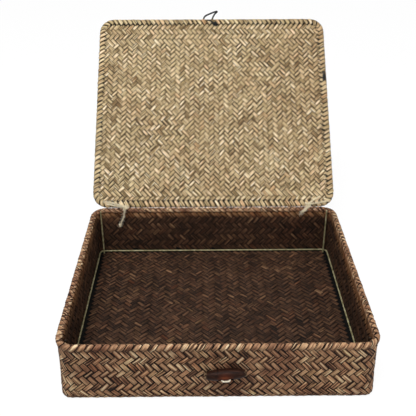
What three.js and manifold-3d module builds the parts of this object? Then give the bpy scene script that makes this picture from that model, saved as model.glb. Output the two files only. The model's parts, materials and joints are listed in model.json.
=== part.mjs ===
// A plaited seagrass storage box with a flat plaited lid, standing open.
// The walls are two mats deep, and the outer mat folds over a wire hoop at the rim.
// The lid is tied on with twine at its back corners and closes with an elastic loop over a wooden toggle.
// Millimetres, +Z up, origin at the middle of the underside, +Y towards the hinge side.
import * as THREE from "three";
import { mergeVertices } from "three/addons/utils/BufferGeometryUtils.js";
import Module from "manifold-3d";

const wasm = await Module();
wasm.setup();

// Box over its folded rim
const BOX_WIDTH = 400;
const BOX_DEPTH = 352;
const BOX_HEIGHT = 86;
const RIM_CORNER_RADIUS = 24;
const BASE_CORNER_RADIUS = 14;
const BASE_EDGE_RADIUS = 6;
const SMALLEST_CORNER_RADIUS = 2;

// Walls: how far they stand back under the rim, and how far they draw in half way up
const RIM_OVERHANG = 1.2;
const WAIST_INSET = 0.8;
const WALL_STEPS = 5;
const BASE_TURN_STEPS = 3;

// Plaited mats and the wire frame inside them
const MAT_THICKNESS = 2;
const LAYER_GAP = 0.3;
const CLEARANCE = 0.3;
const WIRE_DIAMETER = 2.4;
const WIRE_SIDES = 8;
const TUBE_SIDES = 8;
const CORNER_STEPS = 6;
const FOLD_STEPS = 10;

// Folds of the mats round their hoops, in degrees from the outermost point: where a fold's cut end
// stops, and where the rim's channel meets the wall
const RIM_FOLD_END = 235;
const RIM_CHANNEL_END = -78;
const LID_FOLD_END = -140;

// Lid: the angle it stands open by, and where its flat begins, in fold radii from its edge
const LID_OPEN_ANGLE = 135;
const LID_FLAT_SHARE = 3;

// Wooden toggle on the front wall
const TOGGLE_LENGTH = 52;
const TOGGLE_DIAMETER = 15;
const TOGGLE_END_DIAMETER = 8;
const TOGGLE_END_ROUNDING = 1.2;
const TOGGLE_STEPS = 12;
const TOGGLE_SIDES = 24;
const TOGGLE_TILT = 5;
const TOGGLE_SIDE_OFFSET = 9;
const TOGGLE_HEIGHT = 47.2;
const TOGGLE_HOLE_DIAMETER = 4;
const TOGGLE_HOLE_SPACING = 12;
const TOGGLE_HOLE_TILT = 36;
const TOGGLE_HOLE_SIDES = 12;
const CUT_OVERRUN = 2;

// Cotton cord through the toggle, and its knot inside the box
const TOGGLE_CORD_DIAMETER = 2.4;
const TOGGLE_CORD_STEPS = 48;
const STITCH_SAG = 1.5;
const CORD_KNOT_WIDTH = 11;
const CORD_KNOT_HEIGHT = 6;
const CORD_KNOT_DEPTH = 5;

// Elastic closing loop at the lid's front edge
const ELASTIC_DIAMETER = 1.6;
const LOOP_REACH = 18.5;
const LOOP_LEFT_LEG = -14.8;
const LOOP_RIGHT_LEG = 0.7;
const LOOP_TIP = 9.2;
const LOOP_TIP_WIDTH = 3.4;
const LOOP_STEPS = 30;
const LOOP_LEFT_SHARES = [
  [0, 0],
  [0.1, 0.25],
  [0.4, 0.58],
  [0.8, 0.88],
];
const LOOP_RIGHT_SHARES = [
  [1, 0.86],
  [0.45, 0.45],
  [0.1, 0.2],
  [0, 0],
];
const LOOP_KNOT_PLACE = 6.4;
const LOOP_KNOT_SETBACK = 9;
const LOOP_KNOT_WIDTH = 8.5;
const LOOP_KNOT_HEIGHT = 7;
const LOOP_KNOT_DEPTH = 4.6;
const LOOP_STRAND_LENGTH = 15;
const LOOP_STRAND_STEPS = 10;

// Wrap round the join of the lid's hoop, on its right edge
const WRAP_LENGTH = 19;
const WRAP_THICKNESS = 0.7;
const WRAP_PLACE = 238;
const WRAP_HALF_ANGLE = 125;

// Twine ties at the back corners
const TWINE_DIAMETER = 2.2;
const STRAND_STEPS = 8;
const TAIL_STEPS = 16;
const KNOT_DIAMETER = 5.4;
const KNOT_ROUND_STEPS = 10;
const TAIL_KNOT_DIAMETER = 3.8;
const RIM_TURN_END = -35;
const RIM_TURN_STEPS = 6;

// Left tie, in from the box's left side: knot, holes in the lid, and the tail's points on the
// lining with how far they hang below the rim
const LEFT_KNOT_INSET = 54;
const LEFT_KNOT_ANGLE = 112;
const LEFT_UPPER_HOLE_INSET = 17;
const LEFT_UPPER_HOLE_REACH = 10.5;
const LEFT_EDGE_HOLE_INSET = 20.5;
const EDGE_HOLE_REACH = 7;
const LEFT_TAIL_LIP_INSET = 52.4;
const LEFT_TAIL_ROUTE = [
  [50.5, 16],
  [47, 25],
  [43.5, 34],
];

// Right tie, in from the box's right side: knot, holes in the lid, and the tail's points round the
// rim fold, then on the lining
const RIGHT_KNOT_INSET = 43.5;
const RIGHT_KNOT_ANGLE = 75;
const RIGHT_KNOT_LIFT = 1.4;
const RIGHT_UPPER_HOLE_INSET = 22;
const RIGHT_UPPER_HOLE_REACH = 15.7;
const RIGHT_EDGE_HOLE_INSET = 9.5;
const RIGHT_TAIL_RIM_ROUTE = [
  [47.6, 128],
  [51.6, 176],
];
const RIGHT_TAIL_END_INSET = 56.4;
const RIGHT_TAIL_END_DROP = 11;

const HALF_TURN = 180;
const FULL_TURN = 360;
const DEGREE = Math.PI / HALF_TURN;
const WIRE_RADIUS = WIRE_DIAMETER / 2;
const HOOP_CHANNEL_RADIUS = WIRE_RADIUS + CLEARANCE;
const FOLD_RADIUS = HOOP_CHANNEL_RADIUS + MAT_THICKNESS;
const RIM_FOLD_HEIGHT = BOX_HEIGHT - FOLD_RADIUS;
const WALL_TOP = RIM_FOLD_HEIGHT;
const LINING_SETBACK = MAT_THICKNESS + LAYER_GAP;
const WALL_THICKNESS = MAT_THICKNESS + LINING_SETBACK;
const FLOOR_TOP = WALL_THICKNESS;
const LID_SEAT_GAP = ELASTIC_DIAMETER + 2 * CLEARANCE;
const PANEL_HALF = MAT_THICKNESS + LAYER_GAP / 2;

const MATERIALS = {
  stained: { color: 0x7d5f42, roughness: 0.8, metalness: 0 },
  stainedInside: { color: 0x4a3524, roughness: 0.85, metalness: 0 },
  natural: { color: 0xa98f66, roughness: 0.8, metalness: 0 },
  wire: { color: 0x77765c, roughness: 0.45, metalness: 0.8 },
  wood: { color: 0x3a1f16, roughness: 0.35, metalness: 0 },
  cotton: { color: 0xe9e2d0, roughness: 0.9, metalness: 0 },
  twine: { color: 0xd8c8a4, roughness: 0.95, metalness: 0 },
  elastic: { color: 0x17181a, roughness: 0.7, metalness: 0 },
  wrap: { color: 0x2a2b2c, roughness: 0.8, metalness: 0 },
};

function namedMesh(name, geometry, materialName) {
  const material = new THREE.MeshStandardMaterial(MATERIALS[materialName]);
  const mesh = new THREE.Mesh(geometry, material);
  mesh.name = name;
  return mesh;
}

function solidFrom(geometry) {
  const bare = geometry.clone();
  bare.deleteAttribute("normal");
  bare.deleteAttribute("uv");
  const merged = mergeVertices(bare);
  const mesh = new wasm.Mesh({
    numProp: 3,
    vertProperties: new Float32Array(merged.attributes.position.array),
    triVerts: new Uint32Array(merged.index.array),
  });
  return new wasm.Manifold(mesh);
}

function geometryFrom(solid) {
  const mesh = solid.getMesh();
  const geometry = new THREE.BufferGeometry();
  geometry.setAttribute("position", new THREE.BufferAttribute(mesh.vertProperties, 3));
  geometry.setIndex(new THREE.BufferAttribute(mesh.triVerts, 1));
  geometry.computeVertexNormals();
  return geometry;
}

function joined(geometries) {
  const solids = geometries.map(solidFrom);
  return geometryFrom(solids.reduce((whole, piece) => whole.add(piece)));
}

// Plan outline of the box drawn in by an inset, counterclockwise from the right side.
function planOutline(inset, cornerRadius) {
  const radius = Math.max(cornerRadius - inset, SMALLEST_CORNER_RADIUS);
  const x = BOX_WIDTH / 2 - inset - radius;
  const y = BOX_DEPTH / 2 - inset - radius;
  const quarterTurn = Math.PI / 2;
  const centres = [
    [x, y],
    [-x, y],
    [-x, -y],
    [x, -y],
  ];
  return centres.flatMap(([centreX, centreY], quarter) =>
    Array.from({ length: CORNER_STEPS + 1 }, (_, step) => {
      const angle = (quarter + step / CORNER_STEPS) * quarterTurn;
      const alongX = centreX + radius * Math.cos(angle);
      const alongY = centreY + radius * Math.sin(angle);
      return [alongX, alongY];
    }),
  );
}

// A solid swept round the plan outline. Each section is { inset, z, corner }, and the walk from
// one to the next keeps the material on its left. An open walk is capped at both ends.
function sweptRound(sections, closed) {
  const rings = sections.map(({ inset, z, corner }) =>
    planOutline(inset, corner).map(([x, y]) => [x, y, z]),
  );
  const count = rings[0].length;
  const positions = rings.flat(2);
  const faces = [];
  const links = closed ? rings.length : rings.length - 1;
  for (let ring = 0; ring < links; ring++) {
    const here = ring * count;
    const next = ((ring + 1) % rings.length) * count;
    for (let step = 0; step < count; step++) {
      const after = (step + 1) % count;
      faces.push(here + step, here + after, next + after);
      faces.push(here + step, next + after, next + step);
    }
  }
  if (!closed) {
    const last = (rings.length - 1) * count;
    const firstCentre = positions.length / 3;
    positions.push(0, 0, sections[0].z);
    positions.push(0, 0, sections.at(-1).z);
    for (let step = 0; step < count; step++) {
      const after = (step + 1) % count;
      faces.push(firstCentre, after, step);
      faces.push(firstCentre + 1, last + step, last + after);
    }
  }
  const geometry = new THREE.BufferGeometry();
  geometry.setAttribute("position", new THREE.Float32BufferAttribute(positions, 3));
  geometry.setIndex(faces);
  geometry.computeVertexNormals();
  return geometry;
}

// Corner radius of the plan at a height: tight at the base, wider at the rim.
function cornerAt(z) {
  const share = Math.min(Math.max(z / WALL_TOP, 0), 1);
  return THREE.MathUtils.lerp(BASE_CORNER_RADIUS, RIM_CORNER_RADIUS, share);
}

// How far the outer mat's face stands in from the rim at a height.
function wallInset(z) {
  const share = Math.min(Math.max(z / WALL_TOP, 0), 1);
  return RIM_OVERHANG + WAIST_INSET * 4 * share * (1 - share);
}

function wallSection(z, setback) {
  return { inset: wallInset(z) + setback, z, corner: cornerAt(z) };
}

// Sections up a wall face between two heights.
function wallSections(from, to, setback) {
  return Array.from({ length: WALL_STEPS + 1 }, (_, step) =>
    wallSection(THREE.MathUtils.lerp(from, to, step / WALL_STEPS), setback),
  );
}

// Rounded turn from a floor into a wall, from the flat part outwards.
function baseTurn(radius, setback, floorHeight) {
  const foot = wallSection(floorHeight + radius, setback);
  return Array.from({ length: BASE_TURN_STEPS }, (_, step) => {
    const angle = (step / BASE_TURN_STEPS) * (Math.PI / 2);
    return {
      inset: foot.inset + radius * (1 - Math.sin(angle)),
      z: floorHeight + radius * (1 - Math.cos(angle)),
      corner: foot.corner,
    };
  });
}

// An arc of a fold or a wire about a centre, with angles from the outward direction.
function foldArc({ inset, z, corner }, radius, fromAngle, toAngle, steps) {
  return Array.from({ length: steps + 1 }, (_, step) => {
    const angle = THREE.MathUtils.lerp(fromAngle, toAngle, step / steps) * DEGREE;
    return {
      inset: inset - radius * Math.cos(angle),
      z: z + radius * Math.sin(angle),
      corner,
    };
  });
}

const RIM_CENTRE = { inset: FOLD_RADIUS, z: RIM_FOLD_HEIGHT, corner: RIM_CORNER_RADIUS };

// Outer mat: floor, wall and the fold over the rim hoop, open towards the lining.
function outerBasket() {
  const outsideShare = (FOLD_RADIUS - RIM_OVERHANG) / FOLD_RADIUS;
  const creaseAngle = -Math.acos(outsideShare) / DEGREE;
  const creaseZ = RIM_FOLD_HEIGHT + FOLD_RADIUS * Math.sin(creaseAngle * DEGREE);
  const innerRadius = BASE_EDGE_RADIUS - MAT_THICKNESS;
  const insideFace = wallSections(
    MAT_THICKNESS + innerRadius,
    RIM_FOLD_HEIGHT - FOLD_RADIUS,
    MAT_THICKNESS,
  );
  const sections = [
    ...baseTurn(BASE_EDGE_RADIUS, 0, 0),
    ...wallSections(BASE_EDGE_RADIUS, creaseZ, 0).slice(0, -1),
    ...foldArc(RIM_CENTRE, FOLD_RADIUS, creaseAngle, RIM_FOLD_END, FOLD_STEPS),
    ...foldArc(RIM_CENTRE, HOOP_CHANNEL_RADIUS, RIM_FOLD_END, RIM_CHANNEL_END, FOLD_STEPS),
    ...insideFace.reverse(),
    ...baseTurn(innerRadius, MAT_THICKNESS, MAT_THICKNESS).reverse(),
  ];
  return sweptRound(sections, false);
}

// Lining: the second mat inside the first, tucked up under the rim fold.
function innerBasket() {
  const outerRadius = BASE_EDGE_RADIUS - LINING_SETBACK;
  const innerRadius = Math.max(BASE_EDGE_RADIUS - WALL_THICKNESS, CLEARANCE);
  const tuckedTop = RIM_FOLD_HEIGHT - FOLD_RADIUS - CLEARANCE;
  const insideFace = wallSections(FLOOR_TOP + innerRadius, tuckedTop, WALL_THICKNESS);
  const sections = [
    ...baseTurn(outerRadius, LINING_SETBACK, LINING_SETBACK),
    ...wallSections(LINING_SETBACK + outerRadius, tuckedTop, LINING_SETBACK),
    ...insideFace.reverse(),
    ...baseTurn(innerRadius, WALL_THICKNESS, FLOOR_TOP).reverse(),
  ];
  return sweptRound(sections, false);
}

// A wire bent round the plan outline.
function hoop(centre) {
  const circle = foldArc(centre, WIRE_RADIUS, 0, FULL_TURN, WIRE_SIDES);
  return sweptRound(circle.slice(0, -1), true);
}

const FLOOR_HOOP_Z = FLOOR_TOP + CLEARANCE + WIRE_RADIUS;
const FLOOR_HOOP_INSET = wallInset(FLOOR_HOOP_Z) + WALL_THICKNESS + CLEARANCE + WIRE_RADIUS;
const POST_INSET = FLOOR_HOOP_INSET + WIRE_DIAMETER + CLEARANCE;

// Upright wires welded inside the floor hoop at its corners, as tall as the rim fold beside them.
function cornerPosts() {
  const foot = FLOOR_TOP + CLEARANCE;
  const length = BOX_HEIGHT - foot;
  const reach = (RIM_CORNER_RADIUS - POST_INSET) * Math.SQRT1_2;
  const x = BOX_WIDTH / 2 - RIM_CORNER_RADIUS + reach;
  const y = BOX_DEPTH / 2 - RIM_CORNER_RADIUS + reach;
  const corners = [
    ["front_left", -x, -y],
    ["front_right", x, -y],
    ["back_left", -x, y],
    ["back_right", x, y],
  ];
  return corners.map(([corner, postX, postY]) => {
    const rod = new THREE.CylinderGeometry(WIRE_RADIUS, WIRE_RADIUS, length, WIRE_SIDES);
    const post = namedMesh(`frame_post_${corner}`, rod, "wire");
    post.rotation.x = Math.PI / 2;
    post.position.set(postX, postY, foot + length / 2);
    return post;
  });
}

// A tube of one section along a smooth curve through its points.
function tube(points, diameter, steps) {
  const curve = new THREE.CatmullRomCurve3(points);
  const section = new THREE.Shape().absarc(0, 0, diameter / 2, 0, Math.PI * 2);
  return new THREE.ExtrudeGeometry(section, {
    steps,
    curveSegments: TUBE_SIDES / 2,
    extrudePath: curve,
  });
}

function knotBody(centre, width, depth, height) {
  const ball = new THREE.SphereGeometry(1 / 2, KNOT_ROUND_STEPS, KNOT_ROUND_STEPS);
  ball.scale(width, depth, height);
  ball.translate(centre.x, centre.y, centre.z);
  return ball;
}

// Hinge line: level with the underside of the closed lid, which rests on its elastic, over the
// outer edge of the back rim.
const HINGE = new THREE.Vector3(0, BOX_DEPTH / 2, BOX_HEIGHT + LID_SEAT_GAP);

// The lid is drawn closed, from the hinge line, and turned open as one group.
const LID_MIDDLE_Z = FOLD_RADIUS;
const LID_CENTRE = { inset: FOLD_RADIUS, z: LID_MIDDLE_Z, corner: RIM_CORNER_RADIUS };

function lidOuterMat() {
  const underside = LID_MIDDLE_Z + LAYER_GAP / 2;
  const channelAngle = Math.asin(LAYER_GAP / 2 / HOOP_CHANNEL_RADIUS) / DEGREE;
  const creaseAngle = Math.asin(PANEL_HALF / FOLD_RADIUS) / DEGREE;
  const corner = RIM_CORNER_RADIUS;
  const panelInset = FOLD_RADIUS * LID_FLAT_SHARE;
  const sections = [
    { inset: panelInset, z: underside, corner },
    ...foldArc(
      LID_CENTRE,
      HOOP_CHANNEL_RADIUS,
      HALF_TURN - channelAngle,
      LID_FOLD_END,
      FOLD_STEPS,
    ),
    ...foldArc(LID_CENTRE, FOLD_RADIUS, LID_FOLD_END, HALF_TURN - creaseAngle, FOLD_STEPS),
    { inset: panelInset, z: LID_MIDDLE_Z + PANEL_HALF, corner },
  ];
  return sweptRound(sections, false);
}

function lidInnerMat() {
  const corner = RIM_CORNER_RADIUS;
  const foldEnd = FOLD_RADIUS * (1 - Math.cos(LID_FOLD_END * DEGREE));
  const inset = foldEnd + CLEARANCE + LAYER_GAP;
  const top = LID_MIDDLE_Z - LAYER_GAP / 2;
  const bottom = LID_MIDDLE_Z - PANEL_HALF;
  const sections = [
    { inset: inset + MAT_THICKNESS, z: bottom, corner },
    { inset, z: bottom, corner },
    { inset, z: top, corner },
    { inset: inset + MAT_THICKNESS, z: top, corner },
  ];
  return sweptRound(sections, false);
}

// Black wrap over the join of the hoop: a channel that holds the lid's right edge.
function hoopWrap() {
  const innerRadius = FOLD_RADIUS + CLEARANCE;
  const outerRadius = innerRadius + WRAP_THICKNESS;
  const half = WRAP_HALF_ANGLE * DEGREE;
  const section = new THREE.Shape()
    .absarc(0, 0, outerRadius, -half, half, false)
    .absarc(0, 0, innerRadius, half, -half, true);
  const wrap = new THREE.ExtrudeGeometry(section, {
    depth: WRAP_LENGTH,
    bevelEnabled: false,
    curveSegments: FOLD_STEPS,
  });
  wrap.rotateX(Math.PI / 2);
  wrap.translate(BOX_WIDTH / 2 - FOLD_RADIUS, -(WRAP_PLACE - WRAP_LENGTH / 2), LID_MIDDLE_Z);
  return wrap;
}

// Elastic loop out of the lid's front edge, leaning to one side as it stands in use.
function closingLoop() {
  const edge = -(BOX_DEPTH + CLEARANCE);
  const tip = -(BOX_DEPTH + LOOP_REACH - ELASTIC_DIAMETER / 2);
  const at = (x, share) => new THREE.Vector3(x, edge + (tip - edge) * share, LID_MIDDLE_Z);
  const side = (leg, turn, shares) =>
    shares.map(([across, along]) => at(THREE.MathUtils.lerp(leg, turn, across), along));
  const points = [
    ...side(LOOP_LEFT_LEG, LOOP_TIP - LOOP_TIP_WIDTH / 2, LOOP_LEFT_SHARES),
    at(LOOP_TIP, 1),
    ...side(LOOP_RIGHT_LEG, LOOP_TIP + LOOP_TIP_WIDTH / 2, LOOP_RIGHT_SHARES),
  ];
  return tube(points, ELASTIC_DIAMETER, LOOP_STEPS);
}

// The elastic's two ends, brought through to the lid's inner face and knotted there.
function closingLoopKnot() {
  const face = LID_MIDDLE_Z - PANEL_HALF - CLEARANCE;
  const foldFace = LID_MIDDLE_Z - FOLD_RADIUS - CLEARANCE;
  const centre = new THREE.Vector3(
    LOOP_KNOT_PLACE,
    -(BOX_DEPTH - LOOP_KNOT_SETBACK),
    face - LOOP_KNOT_DEPTH / 2,
  );
  const strandZ = foldFace - ELASTIC_DIAMETER / 2;
  const strandEnd = centre.x - LOOP_STRAND_LENGTH;
  const strandY = -(BOX_DEPTH - FOLD_RADIUS);
  const strand = tube(
    [
      new THREE.Vector3(strandEnd, strandY, strandZ),
      new THREE.Vector3((strandEnd + centre.x) / 2, strandY, strandZ),
      new THREE.Vector3(centre.x, (strandY + centre.y) / 2, strandZ),
      centre,
    ],
    ELASTIC_DIAMETER,
    LOOP_STRAND_STEPS,
  );
  return joined([knotBody(centre, LOOP_KNOT_WIDTH, LOOP_KNOT_HEIGHT, LOOP_KNOT_DEPTH), strand]);
}

function lid() {
  const closedLid = new THREE.Group();
  closedLid.add(
    namedMesh("lid_outer_mat", lidOuterMat(), "stained"),
    namedMesh("lid_inner_mat", lidInnerMat(), "natural"),
    namedMesh("lid_hoop", hoop(LID_CENTRE), "wire"),
  );
  closedLid.position.y = -BOX_DEPTH / 2;
  const fittings = [
    namedMesh("lid_hoop_wrap", hoopWrap(), "wrap"),
    namedMesh("closing_loop", closingLoop(), "elastic"),
    namedMesh("closing_loop_knot", closingLoopKnot(), "elastic"),
  ];
  const group = new THREE.Group();
  group.add(closedLid, ...fittings);
  group.position.copy(HINGE);
  group.rotation.x = -LID_OPEN_ANGLE * DEGREE;
  return group;
}

// Toggle: a turned olive with two holes, hanging on its cord against the front wall.
const TOGGLE_STANDOFF = TOGGLE_DIAMETER / 2 + CLEARANCE;
const TOGGLE_CENTRE = new THREE.Vector3(
  TOGGLE_SIDE_OFFSET,
  -(BOX_DEPTH / 2 - wallInset(TOGGLE_HEIGHT) + TOGGLE_STANDOFF),
  TOGGLE_HEIGHT,
);

function toggleProfile() {
  const half = TOGGLE_LENGTH / 2;
  const endRadius = TOGGLE_END_DIAMETER / 2;
  const swell = TOGGLE_DIAMETER / 2 - endRadius;
  const side = Array.from({ length: TOGGLE_STEPS + 1 }, (_, step) => {
    const share = (2 * step) / TOGGLE_STEPS - 1;
    const radius = endRadius + swell * Math.cos((share * Math.PI) / 2);
    return new THREE.Vector2(radius, share * (half - TOGGLE_END_ROUNDING));
  });
  const face = endRadius - TOGGLE_END_ROUNDING;
  return [
    new THREE.Vector2(0, -half),
    new THREE.Vector2(face, -half),
    ...side,
    new THREE.Vector2(face, half),
    new THREE.Vector2(0, half),
  ];
}

function toggleButton() {
  const turned = new THREE.LatheGeometry(toggleProfile(), TOGGLE_SIDES);
  turned.rotateZ(-Math.PI / 2);
  const holeRadius = TOGGLE_HOLE_DIAMETER / 2;
  const holeLength = TOGGLE_DIAMETER + CUT_OVERRUN;
  const holes = [-1, 1].map((side) => {
    const hole = new THREE.CylinderGeometry(holeRadius, holeRadius, holeLength, TOGGLE_HOLE_SIDES);
    hole.translate((side * TOGGLE_HOLE_SPACING) / 2, 0, 0);
    hole.rotateX(TOGGLE_HOLE_TILT * DEGREE);
    return solidFrom(hole);
  });
  const body = holes.reduce((whole, hole) => whole.subtract(hole), solidFrom(turned));
  return geometryFrom(body);
}

// Height of the cord where it leaves the wall, over the toggle's middle.
const CORD_EXIT_RISE = (TOGGLE_DIAMETER / 2) * Math.sin(TOGGLE_HOLE_TILT * DEGREE);

// Cord from the wall, forward through one hole, across under the toggle and back by the other.
function toggleCord() {
  const radius = TOGGLE_CORD_DIAMETER / 2;
  const outside = TOGGLE_DIAMETER / 2 + CLEARANCE + radius;
  const slopeY = -Math.cos(TOGGLE_HOLE_TILT * DEGREE);
  const slopeZ = -Math.sin(TOGGLE_HOLE_TILT * DEGREE);
  const half = TOGGLE_HOLE_SPACING / 2;
  const along = (x, distance, drop) =>
    new THREE.Vector3(x, slopeY * distance, slopeZ * distance - drop);
  const fromWall = (x, distance) =>
    new THREE.Vector3(x, TOGGLE_STANDOFF - CLEARANCE - distance, CORD_EXIT_RISE);
  const points = [
    fromWall(-half, 0),
    fromWall(-half, radius),
    along(-half, -outside / 2, 0),
    along(-half, outside / 2, 0),
    along(-half, outside - radius, 0),
    along(-half / 2, outside, STITCH_SAG),
    along(half / 2, outside, STITCH_SAG),
    along(half, outside - radius, 0),
    along(half, outside / 2, 0),
    along(half, -outside / 2, 0),
    fromWall(half, radius),
    fromWall(half, 0),
  ];
  return tube(points, TOGGLE_CORD_DIAMETER, TOGGLE_CORD_STEPS);
}

function toggle() {
  const group = new THREE.Group();
  group.add(
    namedMesh("toggle_button", toggleButton(), "wood"),
    namedMesh("toggle_cord", toggleCord(), "cotton"),
  );
  group.position.copy(TOGGLE_CENTRE);
  group.rotation.y = -TOGGLE_TILT * DEGREE;
  return group;
}

// The toggle cord's ends, tied together on the lining behind the toggle.
function toggleCordKnot() {
  const z = TOGGLE_HEIGHT + CORD_EXIT_RISE;
  const face = BOX_DEPTH / 2 - wallInset(z) - WALL_THICKNESS - LAYER_GAP;
  const centre = new THREE.Vector3(
    TOGGLE_SIDE_OFFSET,
    -(face - CLEARANCE - CORD_KNOT_DEPTH / 2),
    z,
  );
  return knotBody(centre, CORD_KNOT_WIDTH, CORD_KNOT_DEPTH, CORD_KNOT_HEIGHT);
}

// A place across the box, given from its left side or its right side.
function fromLeft(inset) {
  return inset - BOX_WIDTH / 2;
}

function fromRight(inset) {
  return BOX_WIDTH / 2 - inset;
}

// A point on the open lid: reach from the hinge line up the lid, lift off its inner face.
function onOpenLid(x, reach, lift) {
  const face = LID_MIDDLE_Z - PANEL_HALF;
  const point = new THREE.Vector3(x, -reach, face - lift);
  point.applyAxisAngle(new THREE.Vector3(1, 0, 0), -LID_OPEN_ANGLE * DEGREE);
  return point.add(HINGE);
}

// A point beside the back rim: an angle about the fold's centre from straight back, and a gap.
function onBackRim(x, angle, lift) {
  const reach = FOLD_RADIUS + lift;
  const y = BOX_DEPTH / 2 - FOLD_RADIUS + reach * Math.cos(angle * DEGREE);
  return new THREE.Vector3(x, y, RIM_FOLD_HEIGHT + reach * Math.sin(angle * DEGREE));
}

const TWINE_LIFT = CLEARANCE + TWINE_DIAMETER / 2;

// A point where twine lies against the lining of the back wall, this far below the rim.
function besideLining(x, drop) {
  const z = BOX_HEIGHT - drop;
  return new THREE.Vector3(x, BOX_DEPTH / 2 - wallInset(z) - WALL_THICKNESS - TWINE_LIFT, z);
}

// One strand from the knot to the stitch hole in the lid.
function tieStrand(knot, hole) {
  const stitch = onOpenLid(hole.x, hole.reach, TWINE_LIFT + hole.lift);
  const middle = knot.clone().lerp(stitch, 1 / 2);
  middle.z += TWINE_DIAMETER / 2;
  return tube([knot, middle, stitch], TWINE_DIAMETER, STRAND_STEPS);
}

// The turn of twine over the rim fold, from the knot to where it enters the wall outside.
function rimTurn(x, knotAngle) {
  const points = Array.from({ length: RIM_TURN_STEPS + 1 }, (_, step) => {
    const angle = THREE.MathUtils.lerp(knotAngle, RIM_TURN_END, step / RIM_TURN_STEPS);
    return onBackRim(x, angle, TWINE_LIFT);
  });
  return tube(points, TWINE_DIAMETER, STRAND_STEPS);
}

function hingeTie({ knot, turnAngle, holes, tails, tailKnots }) {
  const pieces = [
    knotBody(knot, KNOT_DIAMETER, KNOT_DIAMETER, KNOT_DIAMETER),
    rimTurn(knot.x, turnAngle),
    ...holes.map((hole) => tieStrand(knot, hole)),
    ...tails.map((tail) => tube([knot, ...tail], TWINE_DIAMETER, TAIL_STEPS)),
    ...tailKnots.map((at) =>
      knotBody(at, TAIL_KNOT_DIAMETER, TAIL_KNOT_DIAMETER, TAIL_KNOT_DIAMETER),
    ),
  ];
  return joined(pieces);
}

// How far the lid's folded edge stands off its inner face.
const EDGE_LIFT = FOLD_RADIUS - PANEL_HALF;

// Left tie: its knot sits on top of the rim and one long tail hangs down inside.
function leftTie() {
  const lip = onBackRim(fromLeft(LEFT_TAIL_LIP_INSET), HALF_TURN, TWINE_LIFT);
  const onLining = LEFT_TAIL_ROUTE.map(([inset, drop]) => besideLining(fromLeft(inset), drop));
  const tailEnd = onLining.at(-1);
  tailEnd.y -= (TAIL_KNOT_DIAMETER - TWINE_DIAMETER) / 2;
  const knotLift = CLEARANCE + KNOT_DIAMETER / 2;
  return hingeTie({
    knot: onBackRim(fromLeft(LEFT_KNOT_INSET), LEFT_KNOT_ANGLE, knotLift),
    turnAngle: LEFT_KNOT_ANGLE,
    holes: [
      { x: fromLeft(LEFT_UPPER_HOLE_INSET), reach: LEFT_UPPER_HOLE_REACH, lift: 0 },
      { x: fromLeft(LEFT_EDGE_HOLE_INSET), reach: EDGE_HOLE_REACH, lift: EDGE_LIFT },
    ],
    tails: [[lip, ...onLining]],
    tailKnots: [tailEnd],
  });
}

// Right tie: its knot sits up against the lid, and two short tails lie over the rim.
function rightTie() {
  const knotLift = CLEARANCE + KNOT_DIAMETER / 2 + RIGHT_KNOT_LIFT;
  const tail = (shift) => [
    ...RIGHT_TAIL_RIM_ROUTE.map(([inset, angle]) =>
      onBackRim(fromRight(inset) + shift, angle, TWINE_LIFT),
    ),
    besideLining(fromRight(RIGHT_TAIL_END_INSET) + shift, RIGHT_TAIL_END_DROP),
  ];
  return hingeTie({
    knot: onBackRim(fromRight(RIGHT_KNOT_INSET), RIGHT_KNOT_ANGLE, knotLift),
    turnAngle: RIGHT_KNOT_ANGLE,
    holes: [
      { x: fromRight(RIGHT_UPPER_HOLE_INSET), reach: RIGHT_UPPER_HOLE_REACH, lift: 0 },
      { x: fromRight(RIGHT_EDGE_HOLE_INSET), reach: EDGE_HOLE_REACH, lift: EDGE_LIFT },
    ],
    tails: [tail(0), tail(TWINE_DIAMETER)],
    tailKnots: [],
  });
}

export default new THREE.Group().add(
  namedMesh("outer_basket", outerBasket(), "stained"),
  namedMesh("inner_basket", innerBasket(), "stainedInside"),
  namedMesh("frame_rim_hoop", hoop(RIM_CENTRE), "wire"),
  namedMesh(
    "frame_floor_hoop",
    hoop({ inset: FLOOR_HOOP_INSET, z: FLOOR_HOOP_Z, corner: cornerAt(FLOOR_HOOP_Z) }),
    "wire",
  ),
  ...cornerPosts(),
  lid(),
  namedMesh("hinge_tie_left", leftTie(), "twine"),
  namedMesh("hinge_tie_right", rightTie(), "twine"),
  toggle(),
  namedMesh("toggle_cord_knot", toggleCordKnot(), "cotton"),
);
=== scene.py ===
import json
import math

import bpy
import numpy as np
from mathutils import Matrix, Vector


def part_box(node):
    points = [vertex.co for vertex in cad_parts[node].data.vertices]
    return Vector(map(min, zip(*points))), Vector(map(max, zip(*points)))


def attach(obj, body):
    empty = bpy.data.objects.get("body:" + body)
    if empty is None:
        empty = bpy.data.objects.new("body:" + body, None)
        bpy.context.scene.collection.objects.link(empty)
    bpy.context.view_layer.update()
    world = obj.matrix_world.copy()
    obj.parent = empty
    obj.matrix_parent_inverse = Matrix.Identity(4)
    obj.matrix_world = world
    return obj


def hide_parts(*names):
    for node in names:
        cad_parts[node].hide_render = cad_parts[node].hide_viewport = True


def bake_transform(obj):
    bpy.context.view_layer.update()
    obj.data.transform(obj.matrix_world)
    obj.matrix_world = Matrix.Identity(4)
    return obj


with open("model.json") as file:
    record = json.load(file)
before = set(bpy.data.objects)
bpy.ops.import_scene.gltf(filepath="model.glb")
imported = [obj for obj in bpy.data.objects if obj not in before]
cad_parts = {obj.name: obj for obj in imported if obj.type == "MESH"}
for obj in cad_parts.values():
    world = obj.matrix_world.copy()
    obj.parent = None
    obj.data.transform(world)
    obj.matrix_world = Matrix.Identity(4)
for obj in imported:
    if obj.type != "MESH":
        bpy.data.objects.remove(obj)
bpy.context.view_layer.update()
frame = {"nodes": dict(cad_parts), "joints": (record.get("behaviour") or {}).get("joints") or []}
nodes = frame["nodes"]
MM = 0.001

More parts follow.
